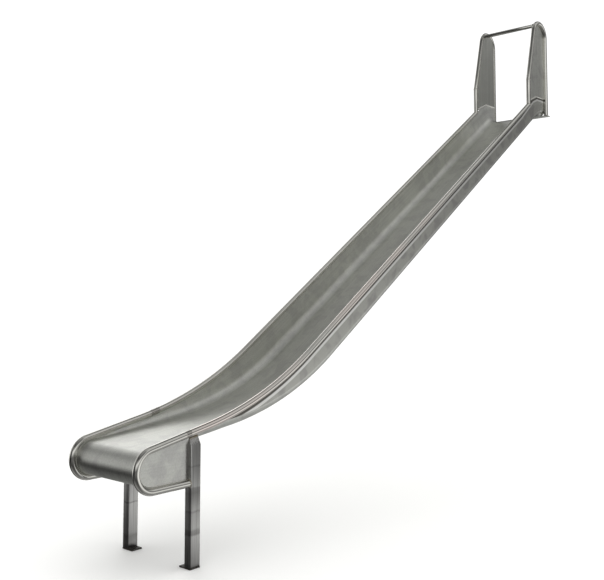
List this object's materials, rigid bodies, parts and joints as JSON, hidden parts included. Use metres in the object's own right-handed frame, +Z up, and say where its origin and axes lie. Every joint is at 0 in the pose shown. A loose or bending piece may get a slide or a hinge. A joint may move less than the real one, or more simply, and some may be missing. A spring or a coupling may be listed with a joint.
{
  "type": "playground slide",
  "caption": "Long straight stainless-steel slide with tube rails, plated entry cheeks, a hook flange at the top, a level run-out with a rolled front, and short legs at the exit.",
  "frame": {"origin": "on the underside of the hook flange, midway between the rails and in line with the axes of the rear uprights", "axes": "+X uphill towards the platform, +Y to the left when looking uphill, +Z up"},
  "size_m": [4.7616, 0.578, 3.9626],
  "materials": {
    "brushed_sheet": "brushed stainless sheet with faint lengthwise scuffs",
    "polished_tube": "satin-polished stainless tube with ground welds",
    "brushed_leg": "mill-finish stainless box section and plate"
  },
  "bodies": {
    "root": {"bed_crest": "brushed_sheet", "bed_lower_bend": "brushed_sheet", "bed_runout": "brushed_sheet", "bed_slope": "brushed_sheet", "crossbar": "polished_tube", "exit_apron": "brushed_sheet", "exit_nose": "brushed_sheet", "hook_flange": "brushed_leg", "left_cheek_bead": "polished_tube", "left_cheek_plate": "brushed_sheet", "left_exit_loop": "polished_tube", "left_foot_plate": "brushed_leg", "left_front_upright": "polished_tube", "left_leaning_tube": "polished_tube", "left_leg": "brushed_leg", "left_loop_plate": "brushed_sheet", "left_rail_bend": "polished_tube", "left_rail_runout": "polished_tube", "left_rail_slope": "polished_tube", "left_rear_upright": "polished_tube", "left_top_bend": "polished_tube", "left_underside_tube": "polished_tube", "left_wall_lower": "brushed_sheet", "left_wall_slope": "brushed_sheet", "left_wall_start": "brushed_sheet", "right_cheek_bead": "polished_tube", "right_cheek_plate": "brushed_sheet", "right_exit_loop": "polished_tube", "right_foot_plate": "brushed_leg", "right_front_upright": "polished_tube", "right_leaning_tube": "polished_tube", "right_leg": "brushed_leg", "right_loop_plate": "brushed_sheet", "right_rail_bend": "polished_tube", "right_rail_runout": "polished_tube", "right_rail_slope": "polished_tube", "right_rear_upright": "polished_tube", "right_top_bend": "polished_tube", "right_underside_tube": "polished_tube", "right_wall_lower": "brushed_sheet", "right_wall_slope": "brushed_sheet", "right_wall_start": "brushed_sheet", "start_deck": "brushed_sheet"}
  },
  "joints": []
}
